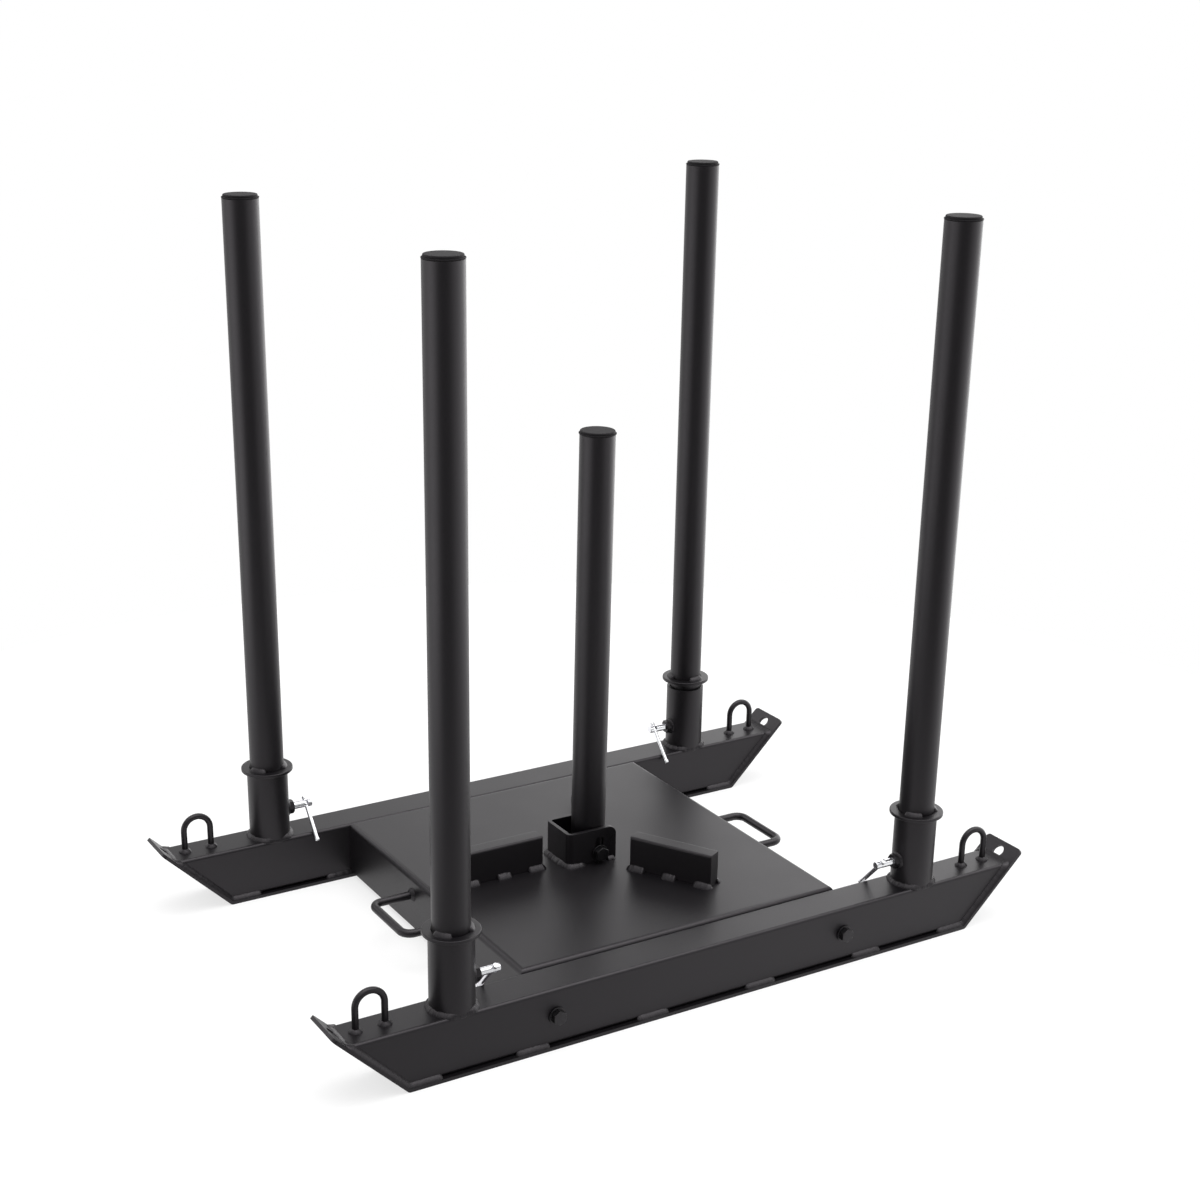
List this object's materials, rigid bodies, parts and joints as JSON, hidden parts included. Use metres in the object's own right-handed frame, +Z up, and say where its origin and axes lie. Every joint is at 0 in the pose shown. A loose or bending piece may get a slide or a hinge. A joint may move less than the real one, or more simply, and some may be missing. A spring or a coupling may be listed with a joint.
{
  "type": "push sled",
  "caption": "Steel push sled: bent skid runners joined by a folded tray, upright push poles clamped in sleeves, tie loops, pull handles and a fold-down post with plate stops.",
  "frame": {"origin": "on the ground under the middle of the sled, which is the bottom centre of its bounding box", "axes": "+Y along the runners towards the rear, +X across the sled towards the right runner, +Z up"},
  "size_m": [0.6772, 1.1072, 1.0362],
  "materials": {
    "powder_coat": "satin black powder coat with a fine grain",
    "skid_coat": "satin black powder coat on plate",
    "black_plastic": "black moulded plastic",
    "bright_zinc": "bright zinc plate",
    "black_fastener": "black oxide"
  },
  "bodies": {
    "sled_frame": {"skid_plate_left": "skid_coat", "skid_plate_right": "skid_coat", "runner_tube_left": "powder_coat", "runner_tube_right": "powder_coat", "weight_tray": "powder_coat", "pull_handle_front": "powder_coat", "pull_handle_rear": "powder_coat", "plate_stop_front": "powder_coat", "plate_stop_rear_right": "powder_coat", "plate_stop_rear_left": "powder_coat", "pivot_bracket": "powder_coat", "side_bolt_front_left": "black_fastener", "side_bolt_front_right": "black_fastener", "side_bolt_rear_left": "black_fastener", "side_bolt_rear_right": "black_fastener", "side_washer_front_left": "black_fastener", "side_washer_front_right": "black_fastener", "side_washer_rear_left": "black_fastener", "side_washer_rear_right": "black_fastener", "side_nut_front_left": "black_fastener", "side_nut_front_right": "black_fastener", "side_nut_rear_left": "black_fastener", "side_nut_rear_right": "black_fastener", "pole_sleeve_front_left": "powder_coat", "pole_sleeve_front_right": "powder_coat", "pole_sleeve_rear_left": "powder_coat", "pole_sleeve_rear_right": "powder_coat", "clamp_nut_front_left": "black_fastener", "clamp_nut_front_right": "black_fastener", "clamp_nut_rear_left": "black_fastener", "clamp_nut_rear_right": "black_fastener", "tie_loop_front_left": "powder_coat", "tie_loop_front_right": "powder_coat", "tie_loop_rear_left": "powder_coat", "tie_loop_rear_right": "powder_coat"},
    "push_pole_front_left": {"pole_front_left": "powder_coat", "pole_collar_front_left": "powder_coat", "pole_cap_front_left": "black_plastic"},
    "push_pole_front_right": {"pole_front_right": "powder_coat", "pole_collar_front_right": "powder_coat", "pole_cap_front_right": "black_plastic"},
    "push_pole_rear_left": {"pole_rear_left": "powder_coat", "pole_collar_rear_left": "powder_coat", "pole_cap_rear_left": "black_plastic"},
    "push_pole_rear_right": {"pole_rear_right": "powder_coat", "pole_collar_rear_right": "powder_coat", "pole_cap_rear_right": "black_plastic"},
    "screw_front_left": {"clamp_screw_front_left": "bright_zinc"},
    "screw_front_right": {"clamp_screw_front_right": "bright_zinc"},
    "screw_rear_left": {"clamp_screw_rear_left": "bright_zinc"},
    "screw_rear_right": {"clamp_screw_rear_right": "bright_zinc"},
    "bar_front_left": {"tommy_bar_front_left": "bright_zinc"},
    "bar_front_right": {"tommy_bar_front_right": "bright_zinc"},
    "bar_rear_left": {"tommy_bar_rear_left": "bright_zinc"},
    "bar_rear_right": {"tommy_bar_rear_right": "bright_zinc"},
    "pivot_pin": {"pivot_bolt": "black_fastener", "pivot_washer": "black_fastener", "pivot_nut": "black_fastener"},
    "folding_post": {"centre_post": "powder_coat", "centre_post_cap": "black_plastic"}
  },
  "joints": [
    {"name": "pole_slide_front_left", "type": "slide", "parent": "sled_frame", "child": "push_pole_front_left", "axis": [0, 0, 1], "range_m": [0, 0.1]},
    {"name": "pole_slide_front_right", "type": "slide", "parent": "sled_frame", "child": "push_pole_front_right", "axis": [0, 0, 1], "range_m": [0, 0.1]},
    {"name": "pole_slide_rear_left", "type": "slide", "parent": "sled_frame", "child": "push_pole_rear_left", "axis": [0, 0, 1], "range_m": [-0.011, 0.089]},
    {"name": "pole_slide_rear_right", "type": "slide", "parent": "sled_frame", "child": "push_pole_rear_right", "axis": [0, 0, 1], "range_m": [0, 0.1]},
    {"name": "screw_turn_front_left", "type": "hinge", "parent": "sled_frame", "child": "screw_front_left", "pos_m": [-0.298, -0.32, 0.1218], "axis": [0, -1, 0], "range_deg": [0, 276.3]},
    {"name": "screw_turn_front_right", "type": "hinge", "parent": "sled_frame", "child": "screw_front_right", "pos_m": [0.298, -0.32, 0.1218], "axis": [0, 1, 0], "range_deg": [0, 276.3]},
    {"name": "screw_turn_rear_left", "type": "hinge", "parent": "sled_frame", "child": "screw_rear_left", "pos_m": [-0.298, 0.32, 0.1218], "axis": [0, -1, 0], "range_deg": [0, 276.3]},
    {"name": "screw_turn_rear_right", "type": "hinge", "parent": "sled_frame", "child": "screw_rear_right", "pos_m": [0.298, 0.32, 0.1218], "axis": [0, 1, 0], "range_deg": [0, 276.3]},
    {"name": "bar_slide_front_left", "type": "slide", "parent": "screw_front_left", "child": "bar_front_left", "axis": [-0.6669, 0, 0.7451], "range_m": [0, 0.0504]},
    {"name": "bar_slide_front_right", "type": "slide", "parent": "screw_front_right", "child": "bar_front_right", "axis": [0.6669, 0, 0.7451], "range_m": [0, 0.0504]},
    {"name": "bar_slide_rear_left", "type": "slide", "parent": "screw_rear_left", "child": "bar_rear_left", "axis": [-0.6669, 0, 0.7451], "range_m": [0, 0.0504]},
    {"name": "bar_slide_rear_right", "type": "slide", "parent": "screw_rear_right", "child": "bar_rear_right", "axis": [0.6669, 0, 0.7451], "range_m": [0, 0.0504]},
    {"name": "post_lift", "type": "slide", "parent": "sled_frame", "child": "pivot_pin", "axis": [0, 0, 1], "range_m": [-0.00012, 0.018]},
    {"name": "post_fold", "type": "hinge", "parent": "pivot_pin", "child": "folding_post", "pos_m": [0, 0.006, 0.103], "axis": [-1, 0, 0], "range_deg": [-0.55, 89.45]}
  ],
  "couplings": [
    {"joint": "post_lift", "follows": "post_fold", "m_per_rad": 0.011459}
  ]
}
